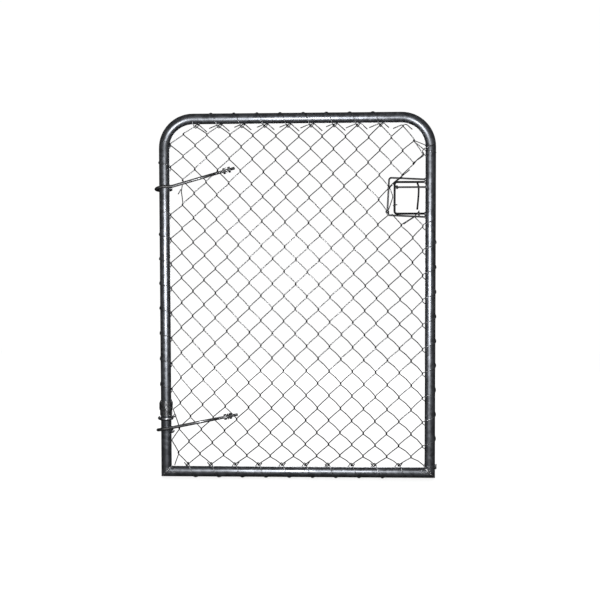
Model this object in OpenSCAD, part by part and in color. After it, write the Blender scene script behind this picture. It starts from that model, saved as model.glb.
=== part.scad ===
// Single-leaf chain-link gate: a bent tube frame, a woven wire mesh laced to it,
// a hand hole beside the right stile and two loose eye bolts as hinges.
// Millimetres, X across the leaf, Y away from the viewer, Z up.

/* [Leaf frame] */
// Width of the leaf over its two stiles
leaf_w = 900; // [800:10:1100]
// Height of the leaf
leaf_h = 1190; // [1100:10:1400]
// Outside diameter of the frame tube
tube_d = 34; // [32:0.5:36]
// Wall thickness of the frame tube
tube_wall = 2.6; // [2:0.1:4]
// Centre-line radius of the two top bends
bend_r = 95; // [80:1:120]
// Root gap between welded pieces
weld_gap = 0.2; // [0.1:0.05:0.4]
// Height of a weld bead over the tube
bead_h = 1.2; // [0.6:0.1:2]
// Width of a weld bead along the seam
bead_w = 6; // [4:0.5:9]

/* [Chain-link mesh] */
// Diameter of the mesh wire
wire_d = 2.5; // [2:0.1:3]
// Width of one diamond before it is stretched to the frame
diamond_w = 75; // [68:1:84]
// Height of one diamond before it is stretched to the frame
diamond_h = 79; // [72:1:86]
// Height of the bend at each knuckle
knuckle_h = 6; // [5:0.5:9]
// Gap between two interlocked wires
weave_gap = 0.3; // [0.2:0.05:0.5]
// Gap between the mesh edge and the tube it is laced to
edge_gap = 0.4; // [0.3:0.05:0.8]
// Sideways lean of the mesh from its top to its bottom
mesh_lean = 13; // [0:1:15]
// Drop of the mesh rows from left to right
mesh_droop = 28; // [0:1:30]
// Sag of the mesh rows towards the bottom
mesh_sag = 16; // [0:1:18]

/* [Lacing wire] */
// Diameter of the lacing wire
lace_d = 2; // [1.6:0.1:2.4]
// Gap between the lacing and the tube
lace_gap = 0.3; // [0.2:0.05:0.6]
// Share by which the lacing steepens across the front of the tube
lace_slant = 0.9; // [0:0.05:0.95]
// Number of turns in the tie coil on the left stile
coil_turns = 16; // [10:1:18]
// Turns by which the tie coil's second layer stops short of each end
coil_short = 3; // [1:1:4]
// Diameter of the tie coil's wire
coil_wire_d = 3; // [2:0.1:4]
// Height of the middle of the tie coil
coil_z = 231; // [228:1:250]

/* [Hand hole] */
// Distance from the right stile's axis to the outer hoop's upright
hole_w = 137; // [130:1:145]
// Height of the outer hoop between rod centres
hole_h = 121; // [118:1:126]
// Drop from the start of the right bend to the hand hole's middle
hole_drop = 167; // [164:1:172]
// Tilt of the outer hoop, clockwise from the front
hole_tilt = 3; // [2:0.5:4]
// Rod diameter of the outer hoop
hoop_rod_d = 6; // [5:0.5:6.5]
// Bend radius of both hoops
hoop_bend_r = 8; // [7:0.5:10]
// Distance from the right stile's axis to the inner hoop's upright
inner_w = 116; // [110:1:117]
// Height of the inner hoop between rod centres
inner_h = 102; // [98:1:103]
// Rise of the inner hoop's middle over that of the outer hoop
inner_rise = 2; // [1:0.5:3]
// Tilt of the inner hoop
inner_tilt = 0.2; // [0:0.1:0.5]
// Rod diameter of the inner hoop
inner_rod_d = 7; // [6:0.5:7.5]
// Diameter of the cross rod and the drop rod
bar_d = 6; // [5:0.5:7]
// Drop from the inner hoop's top bar to the cross rod
cross_drop = 17; // [15:1:24]
// Distance from the right stile's axis to the foot of the drop rod
drop_x = 43; // [40:1:55]
// Lean of the drop rod to the right towards its top
drop_lean = 3; // [0:0.5:4]
// Length of the drop rod below the inner hoop's top bar
drop_l = 89; // [70:1:90]

/* [Hinge bolts] */
// Rod diameter of the eye bolts
bolt_d = 10; // [8:0.5:12]
// Inside diameter of the eyes
eye_inner_d = 40; // [39:0.5:44]
// Drop from the front to the free end of an eye
eye_drop = 12; // [11:0.5:14]
// Turn of an eye from its front round to its free end
eye_turn = 290; // [270:5:310]
// Gap between an eye and the stile where they touch
eye_gap = 0.3; // [0.2:0.05:0.5]
// Space kept free of mesh round a turning eye
hinge_clear = 5; // [4:0.5:7]
// Power by which an eye drops faster at its front than at its back
eye_ease = 3; // [1:0.5:4]
// Radius of the bend between an eye and its shank
root_r = 30; // [20:1:40]
// Height of the lower eye's front
lower_z = 162; // [155:1:165]
// Level stretch between the lower eye and its bend
lower_lead = 2; // [1:1:16]
// Tilt of the lower shank
lower_tilt = 11.6; // [8:0.2:14]
// Length of the lower shank
lower_l = 239; // [210:1:245]
// Free thread past the lower outer nut
lower_free = 20; // [16:1:26]
// Drop from the start of the left bend to the upper eye's front
upper_drop = 126; // [120:1:135]
// Level stretch between the upper eye and its bend
upper_lead = 28; // [10:1:32]
// Tilt of the upper shank
upper_tilt = 15.8; // [12:0.2:18]
// Length of the upper shank
upper_l = 208; // [190:1:220]
// Free thread past the upper outer nut
upper_free = 14; // [12:1:22]
// Width of the nuts over their flats
nut_af = 17; // [16:0.5:19]
// Thickness of the nuts
nut_t = 9; // [7:0.5:11]
// Outside diameter of the washers
washer_d = 20.5; // [20:0.5:24]
// Thickness of the washers
washer_t = 2; // [1.5:0.1:3]
// Radial gap between the thread and its nuts and washers
thread_gap = 0.1; // [0.05:0.01:0.2]
// Gap between the nuts and the washer
stack_gap = 3; // [0.5:0.5:5]
// Step from the shank to the free thread, on the radius
thread_step = 0.2; // [0.1:0.05:0.4]
// Height of the stop ring's middle
ring_z = 194; // [190:1:200]
// Angle of the stop ring's opening
ring_open = 40; // [30:5:60]

/* [Hidden] */
$fn = 48;
eps = 0.01;

// Colours
tube_grey = "#5c6066";
wire_grey = "#7d8187";
rod_grey = "#45484d";
bead_grey = "#8b8e92";

// Frame
tube_r = tube_d / 2;
stile_x = leaf_w - tube_d;
rail_z = tube_r;
top_z = leaf_h - tube_r;
bend_start = top_z - bend_r;
mitre_reach = 4 * tube_d;

// Mesh lattice: columns and rows of knuckles half a diamond apart
wire_r = wire_d / 2;
wire_sides = 4;
weave = (wire_d + weave_gap) / 2;
bend_z = knuckle_h / 2;
mesh_x0 = tube_r + edge_gap + wire_r + weave;
mesh_x1 = stile_x - mesh_x0;
mesh_z0 = tube_d + edge_gap + wire_r + bend_z;
mesh_z1 = leaf_h - mesh_z0;
cols = 2 * round((leaf_w - 2 * tube_d) / diamond_w);
rows = 2 * round((leaf_h - 2 * tube_d) / diamond_h);
half_w = (mesh_x1 - mesh_x0) / cols;
half_h = (mesh_z1 - mesh_z0) / rows;
sag_level = 0.65;

// Hand hole
hole_z = bend_start - hole_drop;
hole_left = stile_x - hole_w - hole_h / 2 * sin(hole_tilt) - hoop_rod_d / 2 - edge_gap;
hole_top = hole_z + hole_h / 2 + hole_w * sin(hole_tilt) + hoop_rod_d / 2 + edge_gap;
hole_bottom = hole_z - hole_h / 2 - hoop_rod_d / 2 - edge_gap;
hole_col = round((stile_x - hole_w - mesh_x0) / half_w);
first_u = (hole_col + 1) / cols;
first_reach = stile_x - lattice_x(first_u, 1);
bar_top = hole_z + hole_h / 2 + first_reach * tan(hole_tilt) + hoop_rod_d / 2 + edge_gap;
row_above = row_over(first_u, bar_top + bend_z + wire_r, 1);
row_below = row_under(first_u, hole_bottom - bend_z - wire_r, 1);
inner_z = hole_z + inner_rise;

// Hinge bolts
bolt_r = bolt_d / 2;
eye_r = (eye_inner_d + bolt_d) / 2;
eye_steps = 20;
eye_sides = 12;
root_steps = 3;
eye_shift = eye_r * cos(eye_turn / eye_steps / 2) - bolt_r - tube_r - eye_gap;
nut_r = nut_af / 2 / cos(30);
stack_l = 2 * nut_t + washer_t + 2 * stack_gap;

upper_z = bend_start - upper_drop;
lower_mid = lower_z - eye_drop / 2;
upper_mid = upper_z - eye_drop / 2;
hinge_band = 0.8 * half_h;
hinge_clear_x = eye_r + eye_shift + bolt_r + hinge_clear + wire_r + weave;

// Stop ring and tie coil
ring_r = tube_r + eye_gap + bolt_r;
coil_r = tube_r + lace_gap + coil_wire_d / 2;
coil_pitch = coil_wire_d * 0.94;
coil_over_r = coil_r + coil_wire_d * 0.8;
coil_over_turns = coil_turns - 1 - 2 * coil_short;
coil_top = coil_z + coil_turns * coil_pitch / 2;

// Origin: the lower bolt's free thread, at the face of its outer nut
function along_shank(lead, tilt, d) =
  [-eye_shift + lead, -eye_r, 0] + root_r * [sin(tilt), 0, 1 - cos(tilt)] + d * [cos(tilt), 0, sin(tilt)];
origin = [0, 0, lower_z] + along_shank(lower_lead, lower_tilt, lower_l - lower_free);

// Place of a share of the mesh: it leans to the left, droops to the right and sags to the bottom,
// and is held straight along the four tubes
function edge_fade(s) = 1 - pow(2 * s - 1, 8);
function lattice_x(u, v) =
  mesh_x0 + u * (mesh_x1 - mesh_x0) - mesh_lean * sin(90 * (1 - v)) * edge_fade(u);
function lattice_z(u, v) =
  mesh_z0 + v * (mesh_z1 - mesh_z0) - (mesh_droop * (u - 0.5) + mesh_sag * (sag_level - v)) * edge_fade(v);
// Row next over or under a height, counted in steps
function row_over(u, z, step) = min([for (k = [0 : step : rows]) if (lattice_z(u, k / rows) > z) k]);
function row_under(u, z, step) = max([for (k = [0 : step : rows]) if (lattice_z(u, k / rows) < z) k]);

// Mesh knuckle at a column and row
function beside_hole(c, z) = c == hole_col && z > hole_bottom - bend_z && z < hole_top + bend_z;
function beside_hinge(c, z) = c == 0 &&
  ((z > lower_mid - hinge_band && z < coil_top + bend_z) || abs(z - upper_mid) < hinge_band);
// Lower corner knuckles step in by the weld bead's height
function bead_step(c, k) = k > 0 ? 0 : c == 0 ? bead_h : c == cols ? -bead_h : 0;
function knuckle(c, k) =
  let(u = c / cols, v = k / rows, x = lattice_x(u, v), z = lattice_z(u, v), step = bead_step(c, k))
  [
    beside_hole(c, z) ? min(x, hole_left - wire_r - weave) :
    beside_hinge(c, z) ? max(x, hinge_clear_x) : x + step,
    z + abs(step),
  ];
function column(j, k) = (k + j) % 2 == 0 ? j : j + 1;
function in_corner(p) =
  let(dx = bend_r - min(p[0], stile_x - p[0]), dz = p[1] + bend_z - bend_start)
  dx > 0 && dz > 0 && norm([dx, dz]) > bend_r - tube_r - wire_r - edge_gap;
function last_row(j) = in_corner(knuckle(column(j, rows), rows)) ? rows - 1 : rows;

// Path of one wire: it bends through the weave's thickness at every knuckle
function wire_path(j, from, to) = [
  for (k = [from : to], up = [-1, 1])
    let(c = column(j, k), p = knuckle(c, k), side = c == j ? -1 : 1)
    [p[0] + side * weave, -side * up * weave, p[1] + up * bend_z]
];

// Sweep of a few-sided section along a list of points. Its first corner is held towards one direction,
// or towards a direction of its own at each point.
function unit(v) = v / norm(v);
function tangent(p, i) =
  i == 0 ? unit(p[1] - p[0]) :
  i == len(p) - 1 ? unit(p[i] - p[i - 1]) :
  unit(unit(p[i] - p[i - 1]) + unit(p[i + 1] - p[i]));
module sweep(path, r, sides, hold = [0, 1, 0]) {
  count = len(path);
  holds = is_list(hold[0]) ? hold : [for (p = path) hold];
  rings = [
    for (i = [0 : count - 1])
      let(t = tangent(path, i), a = unit(holds[i] - (holds[i] * t) * t), b = cross(t, a))
      for (s = [0 : sides - 1])
        path[i] + r * (cos(360 * s / sides) * a + sin(360 * s / sides) * b)
  ];
  walls = [
    for (i = [0 : count - 2], s = [0 : sides - 1])
      let(n = (s + 1) % sides, a = i * sides, b = a + sides)
      each [[a + s, b + s, b + n], [a + s, b + n, a + n]]
  ];
  caps = [
    for (s = [1 : sides - 2])
      each [
        [0, s, s + 1],
        [(count - 1) * sides, (count - 1) * sides + s + 1, (count - 1) * sides + s],
      ]
  ];
  polyhedron(points = rings, faces = concat(walls, caps));
}

// Path of the lacing: turns round a tube, each one through the mesh at a knuckle
lace_r = lace_d / 2;
lace_steps = 12;
lace_sides = 3;
stile_power = 2;
rail_power = 6;
lace_ring = (tube_r + lace_gap + lace_r) / cos(180 / lace_steps);
lace_lead = 2;
lace_tail = 4;
lace_in = 2;
top_lace_in = 4;
stile_reach = tube_r + edge_gap + wire_d + lace_gap + lace_r;
rail_reach = tube_r + edge_gap + wire_d + knuckle_h + 8 * lace_r;
function lace_phase(n) = n / lace_steps + lace_slant * (cos(360 * n / lace_steps) - 1) / 360 * 180 / PI;
function lace_radius(a, reach, power) = lace_ring + (reach - lace_ring) * pow(max(0, cos(a)), power);
function lace_steps_of(turns) = [-lace_lead : turns * lace_steps + lace_tail];

module stile_lace(c, from, to, x, inward) {
  steps = [for (n = lace_steps_of((to - from) / 2)) n];
  out = [for (n = steps) let(a = 360 * n / lace_steps) [inward * cos(a), -sin(a), 0]];
  path = [
    for (i = [0 : len(steps) - 1])
      let(n = steps[i], r = lace_radius(360 * n / lace_steps, stile_reach, stile_power))
      [x, 0, lattice_z(c / cols, (from + 2 * lace_phase(n)) / rows)] + r * out[i]
  ];
  color(wire_grey) sweep(path, lace_r, lace_sides, out);
}
module rail_lace(k, from, to, z, inward) {
  steps = [for (n = lace_steps_of((to - from) / 2)) n];
  out = [for (n = steps) let(a = 360 * n / lace_steps) [0, -sin(a), inward * cos(a)]];
  path = [
    for (i = [0 : len(steps) - 1])
      let(n = steps[i], r = lace_radius(360 * n / lace_steps, rail_reach, rail_power))
      [lattice_x((from + 2 * lace_phase(n)) / cols, k / rows), 0, z] + r * out[i]
  ];
  color(wire_grey) sweep(path, lace_r, lace_sides, out);
}

// Tube pieces
module tube(l) {
  difference() {
    cylinder(r = tube_r, h = l);
    translate([0, 0, -eps]) cylinder(r = tube_r - tube_wall, h = l + 2 * eps);
  }
}
module tube_bend() {
  rotate([90, 0, 0]) rotate_extrude(angle = 90) translate([bend_r, 0]) difference() {
    circle(r = tube_r);
    circle(r = tube_r - tube_wall);
  }
}
// Block on the rail's side of the mitre at the lower left corner
module rail_side(gap, reach) {
  translate([0, 0, rail_z]) rotate([0, -45, 0]) translate([-reach, -reach, -reach + gap])
    cube([2 * reach, 2 * reach, reach]);
}
module mirrored_right() {
  translate([stile_x, 0, 0]) mirror([1, 0, 0]) children();
}

module frame_hoop() {
  color(tube_grey) difference() {
    union() {
      tube(bend_start);
      translate([stile_x, 0, 0]) tube(bend_start);
      translate([bend_r, 0, top_z]) rotate([0, 90, 0]) tube(stile_x - 2 * bend_r);
      translate([bend_r, 0, bend_start]) mirror([1, 0, 0]) tube_bend();
      translate([stile_x - bend_r, 0, bend_start]) tube_bend();
    }
    rail_side(weld_gap / 2, mitre_reach);
    mirrored_right() rail_side(weld_gap / 2, mitre_reach);
  }
}

module bottom_rail() {
  color(tube_grey) intersection() {
    translate([-tube_d, 0, rail_z]) rotate([0, 90, 0]) tube(stile_x + 2 * tube_d);
    rail_side(-weld_gap / 2, 2 * leaf_w);
    mirrored_right() rail_side(-weld_gap / 2, 2 * leaf_w);
  }
}

// Collar of weld metal round the mitre, half of it on the stile and half on the rail
module mitred_corner(grow) {
  difference() {
    cylinder(r = tube_r + grow, h = mitre_reach);
    rail_side(0, mitre_reach);
  }
  intersection() {
    translate([-tube_d, 0, rail_z]) rotate([0, 90, 0]) cylinder(r = tube_r + grow, h = mitre_reach);
    rail_side(0, 2 * mitre_reach);
  }
}
module weld_bead() {
  color(bead_grey) difference() {
    intersection() {
      mitred_corner(bead_h);
      translate([0, 0, rail_z]) rotate([0, -45, 0]) cube([mitre_reach, mitre_reach, bead_w], center = true);
    }
    mitred_corner(weld_gap);
  }
}
module weld_bead_left() { weld_bead(); }
module weld_bead_right() { mirrored_right() weld_bead(); }

module mesh_wires(first, last, from, to) {
  color(wire_grey) for (j = [first : last])
    sweep(wire_path(j, from, min(to, last_row(j))), wire_r, wire_sides);
}
module mesh_main() { mesh_wires(0, hole_col - 1, 0, rows); }
module mesh_above_hand_hole() {
  mesh_wires(hole_col, cols - 2, row_above, rows);
  mesh_wires(cols - 1, cols - 1, row_above + 1, rows);
}
module mesh_below_hand_hole() { mesh_wires(hole_col, cols - 1, 0, row_below); }

module lacing_left() {
  stile_lace(0, row_over(0, coil_top + bolt_d, 2), row_under(0, upper_mid - hinge_band, 2), 0, 1);
  stile_lace(0, row_over(0, upper_mid + hinge_band, 2), rows - lace_in, 0, 1);
}
module lacing_right() {
  stile_lace(cols, lace_in, 2 * floor(row_below / 2), stile_x, -1);
  stile_lace(cols, 2 * ceil((row_above + 1) / 2), rows - lace_in, stile_x, -1);
}
module lacing_top() { rail_lace(rows, top_lace_in, cols - top_lace_in, top_z, -1); }
module lacing_bottom() { rail_lace(0, lace_in, cols - lace_in, rail_z, 1); }

module coil_layer(r, turns) {
  for (i = [0 : turns - 1]) translate([r, (i - (turns - 1) / 2) * coil_pitch]) circle(d = coil_wire_d);
}
module lacing_tie_coil() {
  color(wire_grey) translate([0, 0, coil_z]) rotate_extrude() {
    coil_layer(coil_r, coil_turns);
    coil_layer(coil_over_r, coil_over_turns);
  }
}

module stop_ring() {
  color(rod_grey) translate([0, 0, ring_z]) rotate([0, 0, -90 + ring_open])
    rotate_extrude(angle = 360 - ring_open) translate([ring_r, 0]) circle(r = bolt_r);
}

// Hoop of bent rod standing off the right stile, its ends cut round the tube
module hoop(w, h, rod, tilt) {
  bend = hoop_bend_r;
  color(rod_grey) difference() {
    rotate([0, tilt, 0]) union() {
      for (s = [-1, 1]) translate([-w + bend, 0, s * h / 2]) rotate([0, 90, 0])
        cylinder(d = rod, h = w - bend);
      translate([-w, 0, -h / 2 + bend]) cylinder(d = rod, h = h - 2 * bend);
      for (s = [0, 1]) mirror([0, 0, s]) translate([-w + bend, 0, h / 2 - bend]) rotate([90, 0, 0])
        rotate([0, 0, 90]) rotate_extrude(angle = 90) translate([bend, 0]) circle(d = rod);
    }
    translate([0, 0, -h]) cylinder(r = tube_r + weld_gap, h = 2 * h);
  }
}
module hand_hole_outer_hoop() {
  translate([stile_x, 0, hole_z]) hoop(hole_w, hole_h, hoop_rod_d, hole_tilt);
}
module hand_hole_inner_hoop() {
  translate([stile_x, 0, inner_z]) hoop(inner_w, inner_h, inner_rod_d, inner_tilt);
}

// Straight rods of the hand hole
cross_y = -(inner_rod_d + bar_d) / 2 - weld_gap;
cross_z = inner_z + inner_h / 2 - cross_drop;
module hand_hole_cross_rod() {
  color(rod_grey) difference() {
    translate([stile_x - inner_w, cross_y, cross_z]) rotate([0, 90, 0]) cylinder(d = bar_d, h = inner_w);
    translate([stile_x, 0, 0]) cylinder(r = tube_r + weld_gap, h = leaf_h);
  }
}
module hand_hole_drop_rod() {
  top = inner_z + inner_h / 2;
  color(rod_grey) difference() {
    translate([stile_x - drop_x, 0, top - drop_l]) rotate([0, drop_lean, 0]) cylinder(d = bar_d, h = drop_l);
    translate([stile_x, 0, inner_z]) rotate([0, inner_tilt, 0]) translate([-inner_w, 0, inner_h / 2])
      rotate([0, 90, 0]) cylinder(d = inner_rod_d + 2 * weld_gap, h = inner_w);
  }
}

// Eye bolt: an open eye that winds down round the stile, and a shank that tilts up from it
function eye_path(lead, tilt) = concat(
  [for (i = [eye_steps : -1 : 0])
    let(a = 270 - i * eye_turn / eye_steps, drop = eye_drop * (1 - pow(1 - i / eye_steps, eye_ease)))
    [-eye_shift + eye_r * cos(a), eye_r * sin(a), -drop]],
  [for (i = [0 : root_steps]) along_shank(lead, tilt * i / root_steps, 0)],
  [along_shank(lead, tilt, bolt_d)]
);
module eye_bolt(lead, tilt, l, free) {
  color(rod_grey) union() {
    sweep(eye_path(lead, tilt), bolt_r - eps, eye_sides, [0, 0, 1]);
    on_shank(lead, tilt, 0) cylinder(r = bolt_r, h = l - free);
    on_shank(lead, tilt, l - free - bolt_r) cylinder(r = bolt_r - thread_step, h = free + bolt_r);
  }
}
module on_shank(lead, tilt, d) {
  translate(along_shank(lead, tilt, d)) rotate([0, 90 - tilt, 0]) children();
}
module nut() {
  color(bead_grey) difference() {
    cylinder(r = nut_r, h = nut_t, $fn = 6);
    translate([0, 0, -eps]) cylinder(r = bolt_r + thread_gap, h = nut_t + 2 * eps);
  }
}
module washer() {
  color(bead_grey) difference() {
    cylinder(d = washer_d, h = washer_t);
    translate([0, 0, -eps]) cylinder(r = bolt_r + thread_gap, h = washer_t + 2 * eps);
  }
}
module on_lower(d) { translate([0, 0, lower_z]) on_shank(lower_lead, lower_tilt, d) children(); }
module on_upper(d) { translate([0, 0, upper_z]) on_shank(upper_lead, upper_tilt, d) children(); }
stack_washer = nut_t + stack_gap;
stack_outer = stack_washer + washer_t + stack_gap;
lower_stack = lower_l - lower_free - stack_l;
upper_stack = upper_l - upper_free - stack_l;

module lower_eye_bolt() {
  translate([0, 0, lower_z]) eye_bolt(lower_lead, lower_tilt, lower_l, lower_free);
}
module lower_inner_nut() { on_lower(lower_stack) nut(); }
module lower_washer() { on_lower(lower_stack + stack_washer) washer(); }
module lower_outer_nut() { on_lower(lower_stack + stack_outer) nut(); }
module upper_eye_bolt() {
  translate([0, 0, upper_z]) eye_bolt(upper_lead, upper_tilt, upper_l, upper_free);
}
module upper_inner_nut() { on_upper(upper_stack) nut(); }
module upper_washer() { on_upper(upper_stack + stack_washer) washer(); }
module upper_outer_nut() { on_upper(upper_stack + stack_outer) nut(); }

module placed() { translate(-origin) children(); }

placed() frame_hoop();
placed() bottom_rail();
placed() weld_bead_left();
placed() weld_bead_right();
placed() mesh_main();
placed() mesh_above_hand_hole();
placed() mesh_below_hand_hole();
placed() lacing_left();
placed() lacing_top();
placed() lacing_right();
placed() lacing_bottom();
placed() lacing_tie_coil();
placed() stop_ring();
placed() hand_hole_outer_hoop();
placed() hand_hole_inner_hoop();
placed() hand_hole_cross_rod();
placed() hand_hole_drop_rod();
placed() lower_eye_bolt();
placed() lower_inner_nut();
placed() lower_washer();
placed() lower_outer_nut();
placed() upper_eye_bolt();
placed() upper_inner_nut();
placed() upper_washer();
placed() upper_outer_nut();
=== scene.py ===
"""Single-leaf chain-link gate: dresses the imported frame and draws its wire, threads, welds and studio."""

import logging
import math
from dataclasses import dataclass, field
from enum import Enum

import bpy
from mathutils import Matrix, Vector


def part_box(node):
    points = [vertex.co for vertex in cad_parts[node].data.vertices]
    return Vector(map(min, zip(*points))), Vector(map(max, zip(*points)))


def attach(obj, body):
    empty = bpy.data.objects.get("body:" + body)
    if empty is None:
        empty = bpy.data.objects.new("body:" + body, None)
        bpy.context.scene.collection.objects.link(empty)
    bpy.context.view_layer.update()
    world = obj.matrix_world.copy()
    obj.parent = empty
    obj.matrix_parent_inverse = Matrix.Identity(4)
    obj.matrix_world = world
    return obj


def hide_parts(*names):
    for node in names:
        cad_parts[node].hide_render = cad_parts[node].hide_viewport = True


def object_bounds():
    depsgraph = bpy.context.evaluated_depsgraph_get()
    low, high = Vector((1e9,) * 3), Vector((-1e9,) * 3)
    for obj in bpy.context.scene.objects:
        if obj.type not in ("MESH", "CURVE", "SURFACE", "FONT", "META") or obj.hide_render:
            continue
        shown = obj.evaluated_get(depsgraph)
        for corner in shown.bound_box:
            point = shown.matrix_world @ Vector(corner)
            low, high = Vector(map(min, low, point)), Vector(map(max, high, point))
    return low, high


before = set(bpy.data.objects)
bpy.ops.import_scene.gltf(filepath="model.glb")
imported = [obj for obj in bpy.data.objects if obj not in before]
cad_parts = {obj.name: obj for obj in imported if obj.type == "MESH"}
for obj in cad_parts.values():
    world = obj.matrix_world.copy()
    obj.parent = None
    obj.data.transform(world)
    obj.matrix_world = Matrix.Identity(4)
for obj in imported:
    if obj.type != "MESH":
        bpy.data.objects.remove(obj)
CAD_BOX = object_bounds()

LOG = logging.getLogger("gate")
METRES = 0.001

ACROSS = Vector((1, 0, 0))
BACK = Vector((0, 1, 0))
UP = Vector((0, 0, 1))

PATCH_EDGES = (0.38, 0.66)
PATCH_DETAIL = 6.0
PATCH_RAGGED = 0.62
SPANGLE = (0.78, 1.16)
SOIL_H = 0.45
GRAINS_PER_METRE = 700.0
GRAIN_DETAIL = 3.0
GRAIN_H = 0.0006

Pair = tuple[float, float]
Triple = tuple[float, float, float]
Points = list[Vector]
Profile = list[tuple[float, list[float]]]
Socket = bpy.types.NodeSocket
Inputs = dict[str | int, object]


class Body(Enum):
    """Rigid bodies that pieces ride on."""

    LEAF = "leaf"
    LOWER_BOLT = "lower_hinge_bolt"
    UPPER_BOLT = "upper_hinge_bolt"


class Slot(Enum):
    """Material slots, each with its own finish."""

    TUBE = "galvanised_tube"
    WELD = "weld_metal"
    MESH = "mesh_wire"
    LACING = "lacing_wire"
    ROD = "bent_rod"
    BOLT = "hinge_bolt"
    FASTENER = "zinc_fastener"


class Tone(Enum):
    """Tones in which a slot's finish comes: plain, a darker copy that is painted shade, and a paler copy that is a
    painted highlight.
    """

    PLAIN = "plain"
    # Darker copy of a finish: painted shade on rods that show as shaded.
    PAINTED_SHADE = "dark"
    # Paler copy of a finish: a painted highlight.
    PAINTED_HIGHLIGHT = "pale"


class Edge(Enum):
    """Sides of the frame that are laced."""

    LEFT = "left"
    RIGHT = "right"
    TOP = "top"
    BOTTOM = "bottom"


@dataclass
class Graph:
    """Node tree of a finish or of the room while it is wired."""

    tree: bpy.types.NodeTree

    def fill(self, node: bpy.types.Node, inputs: Inputs) -> None:
        """Set or link the inputs of a node.

        Args:
            node: node to fill.
            inputs: for each input, a fixed value or a socket to link.
        """
        for name, value in inputs.items():
            if isinstance(value, Socket):
                self.tree.links.new(value, node.inputs[name])
            else:
                node.inputs[name].default_value = value

    def add(self, kind: str, out: str, inputs: Inputs, **options: str) -> Socket:
        """Add a node.

        Args:
            kind: type of the node, without its prefix.
            out: name of the output that is wanted.
            inputs: for each input, a fixed value or a socket to link.
            options: settings of the node itself.

        Returns:
            The wanted output.
        """
        node = self.tree.nodes.new(f"ShaderNode{kind}")
        for name, option in options.items():
            setattr(node, name, option)
        self.fill(node, inputs)
        return node.outputs[out]


@dataclass(frozen=True)
class ZincFinish:
    """Weathered zinc on steel: crystals, dull patches, dirt that gathers low down and a fine grain.

    Attributes:
        slot: slot that the finish belongs to.
        pale: linear colour of the clean crystals.
        dull: linear colour of the weathered patches.
        rough_low: roughness of the smoothest patches.
        rough_high: roughness of the dullest patches.
        crystal_size: width of one zinc crystal in metres.
        patch_size: width of a dull patch in metres.
        grain: strength of the fine surface grain.
        dirt: share by which the foot of the leaf is darkened.
        metal: metallic share of the surface.
        tone: tone of the slot's finish: plain, a darker copy that paints shade, or a paler copy that paints a
            highlight.
    """

    slot: Slot
    pale: Triple
    dull: Triple
    rough_low: float = 0.30
    rough_high: float = 0.46
    crystal_size: float = 0.011
    patch_size: float = 0.09
    grain: float = 0.12
    dirt: float = 0.08
    metal: float = 1.0
    tone: Tone = Tone.PLAIN

    def material(self) -> bpy.types.Material:
        """Build the finish as a node material.

        Returns:
            The new material, named after its slot and tone.
        """
        material = bpy.data.materials.new(f"{self.slot.value}_{self.tone.value}")
        material.use_nodes = True
        graph = Graph(material.node_tree)
        where = graph.add("TexCoord", "Object", {})
        crystals, dullness = self.crystals(graph, where), self.dullness(graph, where)
        graph.fill(material.node_tree.nodes["Principled BSDF"], {
            "Metallic": self.metal,
            "Base Color": self.colour(graph, where, crystals, dullness),
            "Roughness": self.roughness(graph, crystals, dullness),
            "Normal": self.surface(graph, where),
        })
        return material

    def crystals(self, graph: Graph, where: Socket) -> Socket:
        """Give every zinc crystal its own tone from 0 to 1."""
        cells = graph.add("TexVoronoi", "Color", {"Vector": where, "Scale": 1.0 / self.crystal_size})
        return graph.add("SeparateColor", "Red", {"Color": cells})

    def dullness(self, graph: Graph, where: Socket) -> Socket:
        """Spread weathered patches, from 0 where clean to 1 where dull."""
        cloud = graph.add("TexNoise", "Fac", {
            "Vector": where, "Scale": 1.0 / self.patch_size, "Detail": PATCH_DETAIL, "Roughness": PATCH_RAGGED,
        })
        clean, dull = PATCH_EDGES
        return graph.add("MapRange", "Result", {"Value": cloud, "From Min": clean, "From Max": dull})

    def colour(self, graph: Graph, where: Socket, crystals: Socket, dullness: Socket) -> Socket:
        """Mix the two colours by the patches, and shade them by crystal and by height.

        Args:
            graph: node tree of the finish.
            where: place on the object.
            crystals: tone of each crystal.
            dullness: share of the dull colour.

        Returns:
            The shaded colour.
        """
        mixed = graph.add("Mix", "Result", {
            "A": (*self.pale, 1.0), "B": (*self.dull, 1.0), "Factor": dullness,
        }, data_type="RGBA")
        darkest, brightest = SPANGLE
        spangle = graph.add("MapRange", "Result", {"Value": crystals, "To Min": darkest, "To Max": brightest})
        foot = CAD_BOX[0][2]
        soil = graph.add("MapRange", "Result", {
            "Value": graph.add("SeparateXYZ", "Z", {"Vector": where}),
            "From Min": foot, "From Max": foot + SOIL_H, "To Min": 1.0 - self.dirt, "To Max": 1.0,
        }, interpolation_type="SMOOTHSTEP")
        shade = graph.add("Math", "Value", {0: spangle, 1: soil}, operation="MULTIPLY")
        return graph.add("VectorMath", "Vector", {0: mixed, "Scale": shade}, operation="SCALE")

    def roughness(self, graph: Graph, crystals: Socket, dullness: Socket) -> Socket:
        """Make dull patches and some crystals rougher than the rest."""
        both = graph.add("Math", "Value", {0: crystals, 1: dullness}, operation="ADD")
        return graph.add("MapRange", "Result", {
            "Value": both, "From Max": 2.0, "To Min": self.rough_low, "To Max": self.rough_high,
        })

    def surface(self, graph: Graph, where: Socket) -> Socket:
        """Raise a fine grain on the surface."""
        grain = graph.add("TexNoise", "Fac", {"Vector": where, "Scale": GRAINS_PER_METRE, "Detail": GRAIN_DETAIL})
        return graph.add("Bump", "Normal", {"Height": grain, "Strength": self.grain, "Distance": GRAIN_H})


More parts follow.
